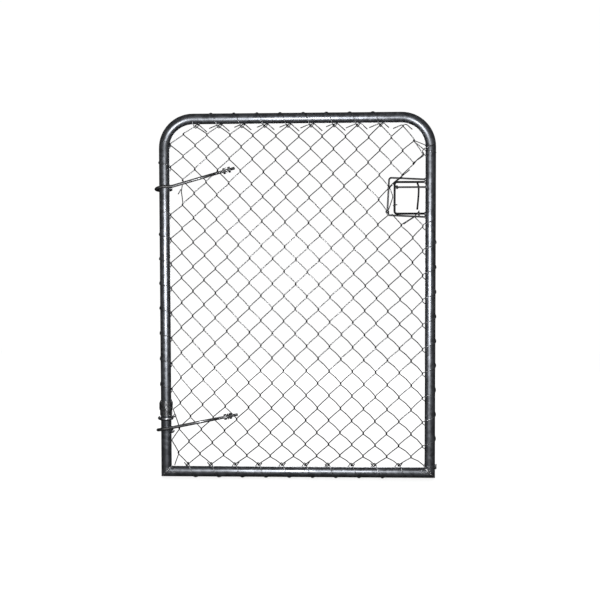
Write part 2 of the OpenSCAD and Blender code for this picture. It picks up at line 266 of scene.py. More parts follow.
@dataclass
class Finishes:
    """The gate's finishes, made once and shared by every piece."""

    made: dict[tuple[Slot, Tone], bpy.types.Material] = field(default_factory=dict)

    def prepare(self) -> None:
        """Make the finish of every slot."""
        for finish in (
            ZincFinish(Slot.TUBE, (0.40, 0.42, 0.46), (0.26, 0.275, 0.30), 0.32, 0.50),
            ZincFinish(Slot.WELD, (0.75, 0.75, 0.76), (0.25, 0.25, 0.26), 0.24, 0.5, 0.003, 0.008, 1.2),
            ZincFinish(Slot.MESH, (0.19, 0.193, 0.197), (0.13, 0.132, 0.135), 0.25, 0.35, 0.006, 0.12, 0.05, 0.8),
            ZincFinish(Slot.LACING, (0.50, 0.51, 0.53), (0.16, 0.163, 0.17), 0.30, 0.46, 0.004, 0.012, 0.10),
            ZincFinish(Slot.ROD, (0.20, 0.205, 0.21), (0.09, 0.092, 0.095), 0.34, 0.54, 0.006, 0.05, 0.15),
            # Darker copy of the rod finish: painted shade for the inner hoop and the drop rod.
            ZincFinish(
                Slot.ROD, (0.035, 0.036, 0.038), (0.02, 0.021, 0.022), 0.4, 0.6, 0.006, 0.05, 0.15, tone=Tone.PAINTED_SHADE
            ),
            # Paler copy of the rod finish: a painted highlight for the stop ring's front.
            ZincFinish(
                Slot.ROD, (0.55, 0.56, 0.58), (0.28, 0.285, 0.30), 0.3, 0.46, 0.006, 0.03, 0.15, tone=Tone.PAINTED_HIGHLIGHT
            ),
            ZincFinish(Slot.BOLT, (0.38, 0.385, 0.395), (0.21, 0.213, 0.22), 0.32, 0.46, 0.007, 0.06, 0.10),
            ZincFinish(Slot.FASTENER, (0.52, 0.525, 0.53), (0.22, 0.223, 0.227), 0.20, 0.34, 0.005, 0.02, 0.12),
        ):
            self.made[finish.slot, finish.tone] = finish.material()

    def dress(self, piece: bpy.types.Object, slot: Slot, tone: Tone = Tone.PLAIN) -> None:
        """Give a piece its finish.

        Args:
            piece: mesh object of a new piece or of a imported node.
            slot: slot whose finish it takes.
            tone: tone of that finish.
        """
        material = self.made[slot, tone]
        if piece.material_slots:
            for place in piece.material_slots:
                place.material = material
        else:
            piece.data.materials.append(material)


@dataclass(frozen=True)
class LeafFrame:
    """Places on the leaf, read from its packed tubes.

    Leaf places are in millimetres: x from the left stile's axis, y away from the front and z up from the
    lower edge.

    Attributes:
        corner: row-frame point, in metres, of the leaf place (0, 0, 0).
        tube_d: outside diameter of the tube.
        width: distance between the two stiles' axes.
        height: height of the leaf.
    """

    corner: Vector
    tube_d: float
    width: float
    height: float

    @classmethod
    def from_tubes(cls) -> "LeafFrame":
        """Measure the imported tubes.

        Returns:
            The leaf's frame of places.
        """
        hoop_low, hoop_high = (Vector(corner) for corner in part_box("frame_hoop"))
        rail_low, rail_high = (Vector(corner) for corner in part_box("bottom_rail"))
        tube = rail_high.z - rail_low.z
        corner = Vector((hoop_low.x + tube / 2, (hoop_low.y + hoop_high.y) / 2, rail_low.z))
        width = hoop_high.x - hoop_low.x - tube
        return cls(corner, tube / METRES, width / METRES, (hoop_high.z - rail_low.z) / METRES)

    @property
    def tube_r(self) -> float:
        """Outside radius of the tube."""
        return self.tube_d / 2

    def at(self, place: Vector) -> Vector:
        """Turn a leaf place in millimetres into a row-frame point in metres."""
        return self.corner + place * METRES


def places(*triples: Triple) -> Points:
    """Turn triples of numbers into leaf places."""
    return [Vector(triple) for triple in triples]


def around(x: float, z: float, *steps: Triple) -> Points:
    """Return leaf places, each by its step across, its depth and its step up from a point of the panel."""
    return [Vector((x + across, depth, z + up)) for across, depth, up in steps]


def rounded(points: Points, trim: float, steps: int) -> Points:
    """Round the corners of a path.

    Args:
        points: corner points of the path.
        trim: how far from a corner its curve starts, at most half of the stretch.
        steps: number of straight bits in each curve.

    Returns:
        The path with a smooth curve at each inner corner.
    """
    path = [points[0]]
    for before, here, after in zip(points, points[1:], points[2:]):
        back, ahead = before - here, after - here
        start = here + back.normalized() * min(trim, back.length / 2)
        end = here + ahead.normalized() * min(trim, ahead.length / 2)
        for i in range(steps + 1):
            t = i / steps
            path.append(start * (1 - t) ** 2 + here * 2 * t * (1 - t) + end * t ** 2)
    path.append(points[-1])
    return path


def ring(centre: Vector, across: Vector, up: Vector, radii: list[float]) -> Points:
    """Set points round a centre.

    Args:
        centre: middle of the ring.
        across: direction of its first point.
        up: direction a quarter turn on.
        radii: distance of each point from the centre.

    Returns:
        The points in order.
    """
    turns = [math.tau * n / len(radii) for n in range(len(radii))]
    return [centre + (across * math.cos(a) + up * math.sin(a)) * r for a, r in zip(turns, radii)]


def arc(
    x: float, radius: float, angles: Pair, heights: Pair, steps: int = 12
) -> Points:
    """Lay a path part of the way round a stile.

    Args:
        x: place of the stile's axis across the leaf.
        radius: distance of the path from that axis.
        angles: first and last angle in degrees, from the right towards the back.
        heights: height of the first and of the last point.
        steps: number of straight bits.

    Returns:
        Points along the path.
    """
    (start, end), (low, high) = angles, heights
    path = []
    for i in range(steps + 1):
        a = math.radians(start + (end - start) * i / steps)
        path.append(Vector((x + radius * math.cos(a), radius * math.sin(a), low + (high - low) * i / steps)))
    return path


def knot(middle: Vector, along: Vector, radius: float) -> Points:
    """Wind two close turns of wire round a rod.

    Args:
        middle: middle of the knot on the rod's axis.
        along: direction of the rod, upright or across the leaf.
        radius: radius of the turns.

    Returns:
        Points along the wire.
    """
    side, length, turns, steps = along.cross(BACK), 5.25, 2, 32
    path = []
    for n in range(steps + 1):
        a = math.tau * turns * n / steps
        out = BACK * math.cos(a) + side * math.sin(a)
        path.append(middle + along * (n / steps - 0.5) * length + out * radius)
    return path


def scatter(a: int, b: int) -> float:
    """Return a fixed number from -1 to 1 that looks random for a pair of whole numbers."""
    wave = math.sin(12.9898 * a + 78.233 * b) * 43758.5453
    return 2 * (wave - math.floor(wave)) - 1


@dataclass
class Shell:
    """Surface of one piece while it is drawn, in leaf millimetres."""

    leaf: LeafFrame
    verts: list[Vector] = field(default_factory=list)
    faces: list[tuple[int, ...]] = field(default_factory=list)

    def loft(self, rings: list[Points], closed: bool = False) -> None:
        """Join a row of rings with four-sided faces.

        Args:
            rings: rings with the same number of points.
            closed: whether the last ring joins the first. If not, a flat face closes each end.
        """
        first, count = len(self.verts), len(rings[0])
        starts = [first + count * n for n in range(len(rings))]
        for points in rings:
            self.verts.extend(points)
        for a, b in zip(starts, starts[1:] + starts[:1] if closed else starts[1:]):
            for i in range(count):
                n = (i + 1) % count
                self.faces.append((a + i, a + n, b + n, b + i))
        if not closed:
            self.faces.append(tuple(reversed(range(first, first + count))))
            self.faces.append(tuple(range(starts[-1], starts[-1] + count)))

    def rod(self, path: Points, radius: float, sides: int, closed: bool = False) -> None:
        """Sweep a round rod along a path.

        Args:
            path: points along the rod's centre.
            radius: radius of the rod.
            sides: number of sides of its section.
            closed: whether the last point joins the first.
        """
        count = len(path)
        normal = Vector((0.31, 0.85, 0.42))
        rings = []
        for i, here in enumerate(path):
            ahead = path[(i + 1) % count] if closed or i < count - 1 else here
            behind = path[i - 1] if closed or i > 0 else here
            along = (ahead - behind).normalized()
            normal = (normal - along * normal.dot(along)).normalized()
            rings.append(ring(here, normal, along.cross(normal), [radius] * sides))
        self.loft(rings, closed)

    def rods(self, paths: list[Points], radius: float, sides: int) -> "Shell":
        """Sweep open rods of one thickness along several paths, and return the shell."""
        for path in paths:
            self.rod(path, radius, sides)
        return self

    def piece(
        self, name: str, slot: Slot, finishes: Finishes, *nodes: str,
        body: Body = Body.LEAF, tone: Tone = Tone.PLAIN, smooth: bool = True,
    ) -> None:
        """Turn the surface into a finished piece of the scene.

        Args:
            name: name of the piece.
            slot: slot whose finish it takes.
            finishes: the gate's finishes.
            nodes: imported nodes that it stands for.
            body: body that it rides on.
            tone: tone of its finish.
            smooth: whether its faces blend into each other.
        """
        mesh = bpy.data.meshes.new(name)
        mesh.from_pydata([self.leaf.at(v) for v in self.verts], [], self.faces)
        mesh.validate()
        mesh.polygons.foreach_set("use_smooth", [smooth] * len(mesh.polygons))
        mesh.update()
        piece = bpy.data.objects.new(name, mesh)
        bpy.context.scene.collection.objects.link(piece)
        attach(piece, body.value)
        if nodes:
            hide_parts(*nodes)
        finishes.dress(piece, slot, tone)
        LOG.info("%s: %d faces, rides on %s", name, len(mesh.polygons), body.value)


@dataclass
class TubeFrame:
    """The bent tube and its lower rail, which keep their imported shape, and the welds that join them.

    Attributes:
        leaf: places on the leaf.
        fat_part: shares of the seam between which a fatter bead lies at the inner corner.
        ground: depth to which the bead is ground off at the outer corner, over ground_turn radians.
        drop: lift and reach of the rings of one drop of spatter, as shares of its radius.
        drop_size: middle and spread of the drops' radius, as shares of speck_r.
        spatter_x: middle and spread of the drops' distance from the stile's axis, as spatter_z of their height.
    """

    leaf: LeafFrame
    bead_r: float = 2.6
    bead_sink: float = 1.2
    ripple: float = 0.5
    wander: float = 0.4
    fat_r: float = 3.8
    fat_part: Pair = (0.75, 0.93)
    fat_y: float = -0.6
    fat_wander: float = 0.8
    fat_lump: int = 7
    ground: float = 2.8
    ground_turn: float = 0.8
    ripples: int = 34
    steps_per_ripple: int = 6
    specks: int = 60
    speck_r: float = 1.5
    drop: tuple[Pair, ...] = ((-0.3, 1), (0.3, 0.85), (0.5, 0.4))
    drop_size: Pair = (0.7, 0.4)
    spatter_x: Pair = (18, 19)
    spatter_z: Pair = (22, 8)
    spatter_seeds: tuple[int, int, int] = (31, 37, 41)
    bead_sides: int = 10
    drop_sides: int = 8

    def dress(self, finishes: Finishes) -> None:
        """Finish the two packed tubes."""
        for name in ("frame_hoop", "bottom_rail"):
            finishes.dress(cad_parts[name], Slot.TUBE)

    def at_corner(self, right: bool, x: float, y: float, z: float) -> Vector:
        """Return a place by its steps from where the axes meet at a lower corner, inwards, back and up."""
        return Vector((self.leaf.width - x if right else x, y, self.leaf.tube_r + z))

    def bead_path(self, right: bool) -> Points:
        """Follow the mitre round the tube.

        Args:
            right: whether the path is at the right corner.

        Returns:
            Points round the seam.
        """
        count = self.ripples * self.steps_per_ripple
        path = []
        for i in range(count):
            turn = math.tau * i / count
            lift = self.ripple * abs(math.sin(math.pi * i / self.steps_per_ripple))
            lift -= self.ground * math.exp(-(((turn - math.pi) / self.ground_turn) ** 2))
            lift += self.wander * scatter(i // self.steps_per_ripple, int(right))
            r = self.leaf.tube_r - self.bead_sink + lift
            path.append(self.at_corner(right, r * math.cos(turn), r * math.sin(turn), r * math.cos(turn)))
        return path

    def speck(self, shell: Shell, right: bool, i: int) -> None:
        """Set one flat drop of weld spatter on the front of a lower corner.

        Args:
            shell: surface to add to.
            right: whether it is the right corner.
            i: number of the drop.
        """
        x, z, r = (
            middle + spread * scatter(i, seed + int(right))
            for (middle, spread), seed in zip((self.spatter_x, self.spatter_z, self.drop_size), self.spatter_seeds)
        )
        z -= self.leaf.tube_r
        r *= self.speck_r
        out = Vector((0, 0, z)) if x > z else Vector((-x if right else x, 0, 0))
        out.y = -math.sqrt(self.leaf.tube_r ** 2 - out.length_squared)
        place = self.at_corner(right, x, out.y, z)
        out.normalize()
        across = out.orthogonal().normalized()
        up = out.cross(across)
        shell.loft([
            ring(place + out * lift * r, across, up, [reach * r] * self.drop_sides) for lift, reach in self.drop
        ])

    def build(self, finishes: Finishes) -> None:
        """Draw the rippled weld beads and their spatter."""
        for side, right in (("left", False), ("right", True)):
            shell = Shell(self.leaf)
            path = self.bead_path(right)
            shell.rod(path, self.bead_r, self.bead_sides, closed=True)
            start, end = (int(len(path) * share) for share in self.fat_part)
            fat = [
                place + Vector((0, self.fat_y, self.fat_wander * scatter(i // self.fat_lump, 3)))
                for i, place in enumerate(path[start:end])
            ]
            shell.rod(fat, self.fat_r, self.bead_sides)
            for i in range(self.specks):
                self.speck(shell, right, i)
            node = f"weld_bead_{side}"
            shell.piece(f"rippled_{node}", Slot.WELD, finishes, node)


@dataclass
class HandHole:
    """The rods of the hand hole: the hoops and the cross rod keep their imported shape, the drop rod is bent.

    Widths and drop_x are from the right stile's axis, and heights are between rod centres. The cross rod and
    the drop rod are measured down from the inner hoop's top bar.

    Attributes:
        leaf: places on the leaf.
        hoop_z: height of the outer hoop's middle at the right stile.
        hoop_tilt: clockwise tilt of the outer hoop in degrees.
        blob: size of the weld round a rod's end, uneven by lump round the rod and by drift along it.
    """

    leaf: LeafFrame
    hoop_w: float = 137
    hoop_h: float = 121
    hoop_z: float = 911
    hoop_tilt: float = 3
    hoop_rod_d: float = 6
    inner_w: float = 116
    inner_h: float = 102
    inner_z: float = 913
    inner_rod_d: float = 7
    bar_d: float = 6
    cross_drop: float = 17
    cross_y: float = -6.7
    drop_x: float = 43
    drop_l: float = 89
    drop_bend: float = 5
    blob: float = 1.7
    lump: float = 0.3
    drift: float = 0.8
    rod_sides: int = 16
    weld_sides: int = 8
    weld_steps: int = 20

    def __post_init__(self) -> None:
        """Work out the heights of the bars and the reach of the outer hoop."""
        self.lean: float = math.radians(self.hoop_tilt)
        self.inner_x: float = self.leaf.width - self.inner_w
        self.inner_top: float = self.inner_z + self.inner_h / 2
        self.inner_foot: float = self.inner_z - self.inner_h / 2
        self.cross_z: float = self.inner_top - self.cross_drop
        corner = self.hoop_h / 2 * math.cos(self.lean) + self.hoop_w * math.sin(self.lean)
        self.top: float = self.hoop_z + corner + self.hoop_rod_d / 2
        self.bottom: float = self.bar_z(self.leaf.width, -1) - self.hoop_rod_d / 2

    def upright_x(self, z: float) -> float:
        """Return how far across the leaf the outer hoop's upright is at a height."""
        return self.leaf.width - self.hoop_w / math.cos(self.lean) + (z - self.hoop_z) * math.tan(self.lean)

    def bar_z(self, x: float, up: int) -> float:
        """Return how high the outer hoop's upper (1) or lower (-1) bar is at a place across the leaf."""
        half = self.hoop_h / 2 / math.cos(self.lean)
        return self.hoop_z + up * half + (self.leaf.width - x) * math.tan(self.lean)

    def dress(self, finishes: Finishes) -> None:
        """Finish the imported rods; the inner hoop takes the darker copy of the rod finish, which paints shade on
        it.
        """
        # The inner hoop's darker tone is painted shade.
        for name, tone in (("outer_hoop", Tone.PLAIN), ("inner_hoop", Tone.PAINTED_SHADE), ("cross_rod", Tone.PLAIN)):
            finishes.dress(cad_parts[f"hand_hole_{name}"], Slot.ROD, tone)

    def collar(self, shell: Shell, place: Vector, radius: float) -> None:
        """Lay a lumpy ring of weld round a rod that runs across the leaf.

        Args:
            shell: surface to add to.
            place: middle of the ring.
            radius: radius of the rod.
        """
        path, seed = [], round(place.z)
        for i in range(self.weld_steps):
            turn = math.tau * i / self.weld_steps
            r = radius + self.blob / 2 + self.lump * scatter(i, seed)
            shift = self.drift * scatter(seed, i + 5)
            path.append(place + Vector((shift, r * math.cos(turn), r * math.sin(turn))))
        shell.rod(path, self.blob, self.weld_sides, closed=True)

    def drop_path(self) -> Points:
        """Bend the drop rod: out under the top bar and back towards its foot."""
        x = self.leaf.width - self.drop_x
        top, foot = self.inner_top - self.bar_d / 2, self.inner_top - self.drop_l
        bent = x + self.drop_bend
        corners = places((x, 0, top), (bent, 0, self.cross_z + 2), (bent - 1, 0, (top + foot) / 2), (x, 0, foot))
        return rounded(corners, trim=14, steps=8)

    def build(self, finishes: Finishes) -> None:
        """Draw the bent drop rod and the welds at the rods' ends."""
        drop = Shell(self.leaf).rods([self.drop_path()], self.bar_d / 2, self.rod_sides)
        # The drop rod takes the darker copy of the rod finish: painted shade.
        drop.piece("bent_drop_rod", Slot.ROD, finishes, "hand_hole_drop_rod", tone=Tone.PAINTED_SHADE)
        welds = Shell(self.leaf)
        edge = self.leaf.width - self.leaf.tube_r - 0.6
        for z, y, rod_d in (
            (self.bar_z(edge, 1), 0, self.hoop_rod_d),
            (self.inner_top, 0, self.inner_rod_d),
            (self.cross_z, self.cross_y, self.bar_d),
            (self.inner_foot, 0, self.inner_rod_d),
            (self.bar_z(edge, -1), 0, self.hoop_rod_d),
        ):
            depth = self.leaf.tube_r - math.sqrt(self.leaf.tube_r ** 2 - y ** 2)
            self.collar(welds, Vector((edge + depth, y, z)), rod_d / 2)
        dot = Vector((self.inner_x + 2, self.cross_y + self.bar_d / 2, self.cross_z))
        self.collar(welds, dot, self.blob)
        welds.piece("hand_hole_weld_collars", Slot.WELD, finishes)


@dataclass
class HingeBolt:
    """One eye bolt with its two nuts and its washer.

    Attributes:
        leaf: places on the leaf.
        side: lower or upper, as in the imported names.
        body: body that the pieces ride on.
        z: height of the eye's front.
        lead: level stretch between the eye and the bend to the shank.
        tilt: tilt of the shank in degrees.
        length: length of the shank.
        free: free thread past the outer nut.
        eye_drop: fall of the eye towards its free end, which comes sooner with a high eye_ease.
        eye_rise: rise of the free end against that fall.
        nut_turn: angle in degrees by which the inner nut's front flat looks up.
    """

    leaf: LeafFrame
    side: str
    body: Body
    z: float
    lead: float
    tilt: float
    length: float
    free: float
    rod_d: float = 10
    eye_r: float = 25
    eye_shift: float = 2.5
    eye_drop: float = 12
    eye_turn: float = 290
    eye_ease: float = 3
    eye_rise: float = 0
    root_r: float = 30
    thread_l: float = 62
    thread_pitch: float = 1.5
    thread_depth: float = 0.75
    nut_af: float = 17
    nut_t: float = 9
    nut_turn: float = 0
    washer_d: float = 20.5
    washer_t: float = 2
    stack_gap: float = 3
    bore_gap: float = 0.1
    sides: int = 24
    ring_sides: int = 48

    @property
    def along(self) -> Vector:
        """Direction of the shank."""
        lean = math.radians(self.tilt)
        return Vector((math.cos(lean), 0, math.sin(lean)))

    @property
    def bore(self) -> list[float]:
        """Radii of the hole in a nut or a washer."""
        return [self.rod_d / 2 + self.bore_gap] * self.ring_sides

    def on_root(self, lean: float) -> Vector:
        """Return the place on the bend between eye and shank where it has turned by an angle."""
        x = -self.eye_shift + self.lead + self.root_r * math.sin(lean)
        return Vector((x, -self.eye_r, self.z + self.root_r * (1 - math.cos(lean))))

    def on_shank(self, distance: float) -> Vector:
        """Return the place on the shank's axis at a distance from its root."""
        return self.on_root(math.radians(self.tilt)) + self.along * distance

    def rod_path(self) -> Points:
        """Follow the plain rod from the eye's free end to the start of the thread.

        Returns:
            Points along the rod.
        """
        path = []
        eye_steps, lead_steps, root_steps, softenings = 72, max(1, round(self.lead / 2)), 6, 8
        for i in range(eye_steps, -1, -1):
            share = i / eye_steps
            turn = math.radians(270 - share * self.eye_turn)
            drop = self.eye_drop * (1 - (1 - share) ** self.eye_ease) - self.eye_rise * share ** 2
            place = (self.eye_r * math.cos(turn) - self.eye_shift, self.eye_r * math.sin(turn), self.z - drop)
            path.append(Vector(place))
        for i in range(1, lead_steps + 1):
            path.append(Vector((-self.eye_shift + self.lead * i / lead_steps, -self.eye_r, self.z)))
        for i in range(1, root_steps + 1):
            path.append(self.on_root(math.radians(self.tilt) * i / root_steps))
        for _ in range(softenings):
            inner = [(a + b * 2 + c) / 4 for a, b, c in zip(path, path[1:], path[2:])]
            path = [path[0], *inner, path[-1]]
        plain = self.length - self.thread_l
        return path + [self.on_shank(plain / 2), self.on_shank(plain)]

    def lathe(self, shell: Shell, profile: Profile, closed: bool) -> None:
        """Turn a profile round the shank.

        Args:
            shell: surface to add to.
            profile: distance along the shank and radii of each ring.
            closed: whether the last ring joins the first, as in a ring with a hole.
        """
        up = self.along.cross(BACK)
        shell.loft([ring(self.on_shank(d), BACK, up, radii) for d, radii in profile], closed)

    def thread(self, shell: Shell) -> None:
        """Cut the screw thread into the end of the rod."""
        per_pitch, run_in, tip_l, tip_cut = 6, 18, 1.2, 0.9
        rings = int(self.thread_l / self.thread_pitch * per_pitch)
        profile = []
        for i in range(rings + 1):
            d = self.length - self.thread_l + self.thread_l * i / rings
            depth = self.thread_depth * min(1.0, i / run_in)
            tip = tip_cut * max(0.0, 1 - (self.length - d) / tip_l)
            notches = [abs(2 * ((d / self.thread_pitch - s / self.sides) % 1.0) - 1) for s in range(self.sides)]
            profile.append((d, [self.rod_d / 2 - depth * notch - tip for notch in notches]))
        self.lathe(shell, profile, closed=False)

    @staticmethod
    def mirrored(start: float, end: float, half: Profile) -> Profile:
        """Complete a profile between two faces from its first half, by distances from the near face."""
        return [(start + d, radii) for d, radii in half] + [(end - d, radii) for d, radii in reversed(half)]

    def nut_profile(self, start: float, turn: float = 0) -> Profile:
        """Shape a chamfered hexagon nut.

        Args:
            start: distance along the shank to the nut's near face.
            turn: angle in degrees by which its front flat looks up.

        Returns:
            Rings from the near bore edge round to the far bore edge.
        """
        count, flat, cut, lip = self.ring_sides, self.nut_af / 2, 0.9, 0.6
        rim_share, shoulder_share = 0.94, 0.985
        end = start + self.nut_t
        mouth = [r + lip for r in self.bore]
        rim = [flat * rim_share] * count
        hexagon = [flat / math.cos(math.radians((360 * s / count + turn + 30) % 60 - 30)) for s in range(count)]
        shoulder = [r * shoulder_share for r in hexagon]
        half = [(lip, self.bore), (0, mouth), (0, rim), (cut / 2, shoulder), (cut, hexagon)]
        return self.mirrored(start, end, half)

    def washer_profile(self, start: float) -> Profile:
        """Shape a washer with soft edges, from its near face."""
        soft, end = 0.4, start + self.washer_t
        rim = [self.washer_d / 2] * self.ring_sides
        edge = [r - soft for r in rim]
        half = [(0, self.bore), (0, edge), (soft, rim)]
        return self.mirrored(start, end, half)

    def build(self, finishes: Finishes) -> None:
        """Draw the bolt, its nuts and its washer."""
        rod = Shell(self.leaf).rods([self.rod_path()], self.rod_d / 2, self.sides)
        self.thread(rod)
        rod.piece(f"{self.side}_threaded_eye_bolt", Slot.BOLT, finishes, f"{self.side}_eye_bolt", body=self.body)
        stack = self.length - self.free - 2 * self.nut_t - self.washer_t - 2 * self.stack_gap
        washer = stack + self.nut_t + self.stack_gap
        outer = washer + self.washer_t + self.stack_gap
        for name, profile in (
            ("inner_nut", self.nut_profile(stack, self.nut_turn)),
            ("washer", self.washer_profile(washer)),
            ("outer_nut", self.nut_profile(outer)),
        ):
            shell = Shell(self.leaf)
            self.lathe(shell, profile, closed=True)
            node = f"{self.side}_{name}"
            shell.piece(f"chamfered_{node}", Slot.FASTENER, finishes, node, body=self.body, smooth=False)


@dataclass(frozen=True)
class Swell:
    """Soft swelling of the panel: its size, and its middle and reach as shares of the width and the height."""

    size: float
    u: float
    u_reach: float
    v: float
    v_reach: float

    def at(self, u: float, v: float) -> float:
        """Return how far the swelling moves a place of the panel."""
        return self.size * math.exp(-(((u - self.u) / self.u_reach) ** 2) - ((v - self.v) / self.v_reach) ** 2)


@dataclass
class ChainLink:
    """The woven panel: flattened spirals of wire that hook through each other at every knuckle.

    Attributes:
        leaf: places on the leaf.
        hole: the hand hole, which the wires go round.
        hinges: the bolts whose eyes the left edge stays clear of.
        lean: step of the columns to the left at the foot, less top_shift at every height.
        foot_pull: more of it at the lower left corner.
        waist: more of it in the upper left of the middle.
        droop: fall of the rows from left to right, less by droop_ease at the foot.
        sag: fall of the rows under sag_level, and rise over it.
        lift: rise of the rows at half height, with edge_lift more at the left edge.
        belly: fall of the lower rows left of the middle.
        fade_power: power by which all this ends at the panel's edges, with right_fade at the right one.
        corner_sink: fall of the knuckles in the right upper corner, times stile_sink at the stile.
        bow: bow of a leg, times a share in bow_part, and times bow_up where it rises to the right.
        hole_ends: distances from the right stile's axis where wires end under the hand hole.
    """

    leaf: LeafFrame
    hole: HandHole
    hinges: list[HingeBolt]
    wire_d: float = 2.5
    diamond_w: float = 75
    diamond_h: float = 79
    knuckle_h: float = 6
    hook_h: float = 2.8
    weave_gap: float = 0.3
    edge_gap: float = 0.4
    lean: float = 18
    top_shift: float = 8.6
    foot_pull: float = 18
    foot_reach: float = 0.16
    foot_power: float = 2.3
    waist: Swell = Swell(3, 0.33, 0.2, 0.62, 0.16)
    droop: float = 28
    droop_ease: float = 0.46
    droop_reach: float = 0.36
    sag: float = 16
    sag_level: float = 0.65
    lift: float = 2
    edge_lift: float = 15
    edge_reach: float = 0.12
    belly: Swell = Swell(7, 0.35, 0.18, 0, 0.42)
    fade_power: int = 14
    right_fade: int = 6
    corner_sink: float = 8
    stile_sink: float = 1.8
    top_sink: float = 5
    corner_slip: float = 7
    right_slack: float = 5
    foot_in: float = 9
    hinge_x: float = 57
    hinge_room: float = 0.8
    coil_z: float = 231
    coil_dip: float = 9
    coil_reach: float = 25.5
    slack: float = 0.8
    bow: float = 2.6
    bow_part: Pair = (0.2, 1.2)
    bow_up: float = 0.3
    bend_r: float = 95
    tail_l: float = 28
    stub_l: float = 9
    hole_ends: Triple = (123, 53, 50)
    zinc_t: float = 0.44
    sides: int = 8

    def __post_init__(self) -> None:
        """Fit the lattice into the leaf and round the hand hole."""
        leaf, hole, slim = self.leaf, self.hole, self.edge_gap + self.wire_d / 2
        self.cols: int = 2 * round((leaf.width - leaf.tube_d) / self.diamond_w)
        self.rows: int = 2 * round((leaf.height - 2 * leaf.tube_d) / self.diamond_h)
        self.weave: float = (self.wire_d + self.weave_gap) / 2
        self.bend_z: float = self.knuckle_h / 2
        self.edge_x: float = leaf.tube_r + slim + self.weave
        self.edge_z: float = leaf.tube_d + slim + self.bend_z
        self.half_w: float = (leaf.width - 2 * self.edge_x) / self.cols
        self.half_h: float = (leaf.height - 2 * self.edge_z) / self.rows
        self.hoop_off: float = hole.hoop_rod_d / 2 + slim
        self.inner_off: float = hole.inner_rod_d / 2 + slim
        self.hole_col: int = round((leaf.width - hole.hoop_w - self.edge_x) / self.half_w)
        column = [self.lattice(self.hole_col + 1, k) for k in range(self.rows)]
        rod = hole.hoop_rod_d / 2 + self.bend_z + self.wire_d / 2
        low = hole.bottom - self.knuckle_h
        self.row_above: int = next(k for k, (x, z) in enumerate(column) if z > hole.bar_z(x, 1) + rod)
        self.row_below: int = max(k for k, (_, z) in enumerate(column) if z < low)

    @staticmethod
    def fade(share: float, power: int) -> float:
        """Return 1 in the middle of the panel and 0 at its edges, which a low power reaches gently."""
        return 1 - (2 * share - 1) ** power

    def lattice(self, c: float, k: float) -> Pair:
        """Return how far across and how high a column and a row meet on the stretched panel."""
        u, v = c / self.cols, k / self.rows
        foot = math.exp(-((v / self.foot_reach) ** 2)) * self.foot_pull * (1 - min(u, 1.0)) ** self.foot_power
        pull = self.lean * math.sin(math.pi / 2 * (1 - v)) - self.top_shift + foot
        faded = pull * self.fade(u, self.fade_power if u < 0.5 else self.right_fade)
        x = self.edge_x + c * self.half_w - faded - self.waist.at(u, v)
        droop = self.droop * (1 - self.droop_ease * math.exp(-((v / self.droop_reach) ** 2)))
        lift = (self.lift + self.edge_lift * math.exp(-u / self.edge_reach)) * math.sin(math.pi * v)
        fall = droop * (u - 0.5) + self.sag * (self.sag_level - v) - lift + self.belly.at(u, v)
        return x, self.edge_z + k * self.half_h - fall * self.fade(v, self.fade_power)

    def beside_hole(self, c: int, z: float) -> bool:
        """Tell whether a knuckle hangs on the hand hole's upright."""
        return c == self.hole_col and self.hole.bottom - self.bend_z < z < self.hole.top + self.bend_z

    def knuckle(self, c: int, k: int) -> Pair:
        """Place a knuckle.

        Args:
            c: its column.
            k: its row.

        Returns:
            How far across and how high it is.
        """
        x, z = self.lattice(c, k)
        lower, room = self.hinges[0], self.hinge_room * self.half_h
        if c == 0 and lower.z + lower.rod_d < z < self.coil_z:
            return self.coil_reach, self.coil_z - self.coil_dip
        if c == 0 and any(abs(z - hinge.z + hinge.eye_drop / 2) < room for hinge in self.hinges):
            x = self.hinge_x
        if c == self.cols and k > 0:
            x -= self.right_slack
        if c == 0 and k == 0:
            x += self.foot_in
        if c + k >= self.cols + self.rows - 2 and k < self.rows:
            z -= self.corner_sink * (1 if c < self.cols else self.stile_sink)
        if (c, k) == (self.cols - 2, self.rows):
            z -= self.top_sink
        if 0 < c < self.cols and 0 < k < self.rows:
            x += self.slack * scatter(c, k)
            z += self.slack * scatter(k, c + 7)
        return x, z

    def in_corner(self, x: float, z: float) -> bool:
        """Tell whether a place lies under one of the bent corners."""
        dx = self.bend_r - min(x, self.leaf.width - x)
        dz = z + self.bend_z - (self.leaf.height - self.leaf.tube_r - self.bend_r)
        room = self.bend_r - self.leaf.tube_r - self.wire_d / 2 - self.edge_gap
        return dx > 0 and dz > 0 and math.hypot(dx, dz) > room

    @staticmethod
    def column(j: int, k: int) -> tuple[int, int]:
        """Return the column that a wire reaches at a row, and whether that is to its left (-1) or right (1)."""
        return (j, -1) if (k + j) % 2 == 0 else (j + 1, 1)

    def last_row(self, j: int) -> int:
        """Return the highest row of a wire, which is lower under a bent corner."""
        top = self.knuckle(self.column(j, self.rows)[0], self.rows)
        return self.rows - 1 if self.in_corner(*top) else self.rows

    def bend(self, j: int, k: int) -> Points:
        """Return the corners of a wire's bend at a row, from its lower to its upper one."""
        c, side = self.column(j, k)
        x, z = self.knuckle(c, k)
        if side > 0 and self.beside_hole(c, z):
            off, rise = self.hoop_off, self.bend_z + 1
            slip = self.corner_slip if z < self.hole.hoop_z else 0
            return around(
                self.hole.upright_x(z), z, (slip - off * 0.4, off, -rise - slip / 2), (off, off * 0.5, -1.5),
                (off, -off * 0.5, 1.5), (-off * 0.4, -off, rise),
            )
        step = self.hook_h / 2
        return around(x, z, *((side * self.weave, -side * up * self.weave, up * step) for up in (-1, 1)))

